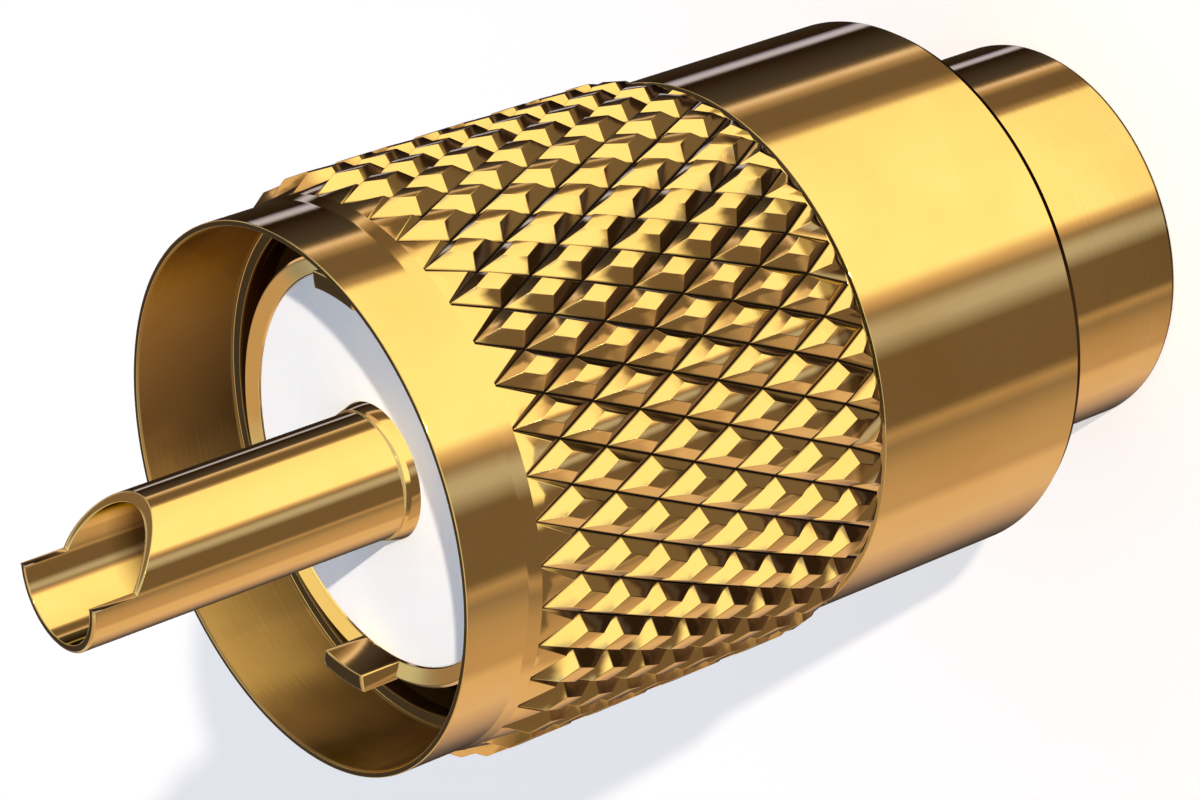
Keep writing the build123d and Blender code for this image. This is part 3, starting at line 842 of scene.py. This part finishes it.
def makeFloor():  # a round of matt white paper, and a wall of it that only the camera sees
    paper = bpy.data.materials.new("mattWhitePaper")
    paper.use_nodes = True
    paper.node_tree.nodes.clear()
    tree = paper.node_tree
    plain = addNode(tree, "ShaderNodeBsdfDiffuse", {"Color": linearColour(floorValues["colour"])})
    white = addNode(tree, "ShaderNodeEmission", {"Strength": 1.0})
    path = addNode(tree, "ShaderNodeLightPath").outputs
    seen = path["Is Camera Ray"]
    for kind in ("Is Glossy Ray", "Is Transmission Ray"):
        seen = addNode(tree, "ShaderNodeMath", {0: seen, 1: path[kind]}, operation="MAXIMUM")
    share = addNode(tree, "ShaderNodeMath", {0: seen, 1: floorValues["glow"]}, operation="MULTIPLY")
    mixed = addNode(tree, "ShaderNodeMixShader", {0: share, 1: plain, 2: white})
    addNode(tree, "ShaderNodeOutputMaterial", {0: mixed})
    sides = floorValues["sides"]
    spins = [2 * math.pi * side / sides for side in range(sides)]
    reach, height = floorValues["radius"], floorValues["height"]
    low, high = ([(reach * math.cos(a), reach * math.sin(a), z) for a in spins]
                 for z in (0, height))
    floor = newPiece("floor", low, [tuple(range(sides))])
    wall = newPiece("backdrop", low + high, [
        (side, side + sides, (side + 1) % sides + sides, (side + 1) % sides)
        for side in range(sides)])
    wall.visible_diffuse = wall.visible_shadow = False
    for piece in (floor, wall):
        piece.data.materials.append(paper)
        piece.visible_glossy = False


def makeWorld():
    world = bpy.data.worlds.new("studio")
    bpy.context.scene.world = world
    world.use_nodes = True
    tree = world.node_tree
    tree.nodes.clear()
    direction = addNode(tree, "ShaderNodeTexCoord").outputs["Generated"]
    axes = addNode(tree, "ShaderNodeSeparateXYZ", {0: direction})
    azimuth = addNode(tree, "ShaderNodeMath",
                      {0: axes.outputs[1], 1: axes.outputs[0]}, operation="ARCTAN2")
    share = addNode(tree, "ShaderNodeMapRange",
                    {0: azimuth, 1: -math.pi, 2: math.pi, 3: 0.0, 4: 1.0})
    ramps = []
    for cards in (lowCards, levelCards):
        ramp = addNode(tree, "ShaderNodeValToRGB", {0: share.outputs[0]})
        stops = ramp.color_ramp.elements
        stops.remove(stops[1])
        for number, (angle, colour) in enumerate(cards):
            stop = stops[0] if number == 0 else stops.new((angle + 180) / 360)
            stop.color = linearColour(cardColours[colour])
        ramps.append(ramp)
    past = {}
    for tier, (low, high) in tierEdges.items():
        past[tier] = addNode(tree, "ShaderNodeMapRange", {
            0: axes.outputs[2], 1: math.sin(math.radians(low)), 2: math.sin(math.radians(high)),
            3: 0.0, 4: 1.0}).outputs[0]

    lower = ramps[0]
    for tier in ("dim", "dusk"):
        dimmed = addNode(tree, "ShaderNodeMix",
                         {0: 1.0, 6: ramps[0], 7: linearColour(cardColours[tier])},
                         data_type="RGBA", blend_type="MULTIPLY")
        lower = addNode(tree, "ShaderNodeMix", {
            0: past[tier], 6: dimmed.outputs[2], 7: lower}, data_type="RGBA").outputs[2]
    level = addNode(tree, "ShaderNodeMix",
                    {0: past["low"], 6: lower, 7: ramps[1]}, data_type="RGBA")
    level = addNode(tree, "ShaderNodeBackground",
                    {"Color": level.outputs[2], "Strength": lightValues["bandStrength"]})

    above = linearColour(lightValues["skyColour"])
    for turn, lean, reach, colour in highCards:
        turn, lean = math.radians(turn), math.radians(lean)
        towards = (math.cos(turn) * math.cos(lean), math.sin(turn) * math.cos(lean), math.sin(lean))
        facing = addNode(tree, "ShaderNodeVectorMath",
                         {0: direction, 1: towards}, operation="DOT_PRODUCT")
        covered = addNode(tree, "ShaderNodeMapRange", {
            0: facing.outputs["Value"], 1: math.cos(math.radians(reach)),
            2: math.cos(math.radians(reach - lightValues["highCardEdge"])), 3: 0.0, 4: 1.0})
        above = addNode(tree, "ShaderNodeMix", {
            0: covered.outputs[0], 6: above, 7: linearColour(cardColours[colour])},
            data_type="RGBA").outputs[2]
    above = addNode(tree, "ShaderNodeBackground",
                    {"Color": above, "Strength": lightValues["skyStrength"]})
    mixed = addNode(tree, "ShaderNodeMixShader", {0: past["level"], 1: level, 2: above})
    addNode(tree, "ShaderNodeOutputWorld", {0: mixed})


def makeKeyLight():
    lamp = bpy.data.lights.new("key", "SUN")
    lamp.energy = lightValues["keyStrength"]
    lamp.color = linearColour(lightValues["keyColour"])[:3]
    lamp.angle = math.radians(lightValues["keyAngle"])
    key = bpy.data.objects.new("key", lamp)
    bpy.context.scene.collection.objects.link(key)
    turn, lean = (math.radians(lightValues[name]) for name in ("keyAzimuth", "keyElevation"))
    towards = Vector((math.cos(turn) * math.cos(lean), math.sin(turn) * math.cos(lean),
                      math.sin(lean)))
    key.rotation_euler = towards.to_track_quat("Z", "Y").to_euler()
    key.location = towards * 0.5


cameraValues = {
    "lens": 129.285, "sensor": 36.0, "distance": 133.1, "elevation": 33.317, "roll": -110.053,
    "aim": (-0.2825, 0.0, 18.704), "nearest": 0.005, "farthest": 20.0,
}


def makeCamera():
    s = cameraValues
    elevation, roll = math.radians(s["elevation"]), math.radians(s["roll"])
    back = Vector((0, -math.cos(elevation), math.sin(elevation)))
    right, up = Vector((1, 0, 0)), Vector((0, math.sin(elevation), math.cos(elevation)))
    turnedRight = right * math.cos(roll) + up * math.sin(roll)
    turnedUp = up * math.cos(roll) - right * math.sin(roll)
    data = bpy.data.cameras.new("photoCamera")
    data.lens = s["lens"]
    data.sensor_width = s["sensor"]
    data.clip_start = s["nearest"]
    data.clip_end = s["farthest"]
    camera = bpy.data.objects.new("photoCamera", data)
    bpy.context.scene.collection.objects.link(camera)
    spot = Matrix.Translation((Vector(s["aim"]) + back * s["distance"]) * mm)
    camera.matrix_world = spot @ Matrix((turnedRight, turnedUp, back)).transposed().to_4x4()
    bpy.context.scene.camera = camera


makeFloor()
makeWorld()
makeKeyLight()
makeCamera()
bpy.context.scene.view_settings.view_transform = "Standard"
print("floor, light and camera made")
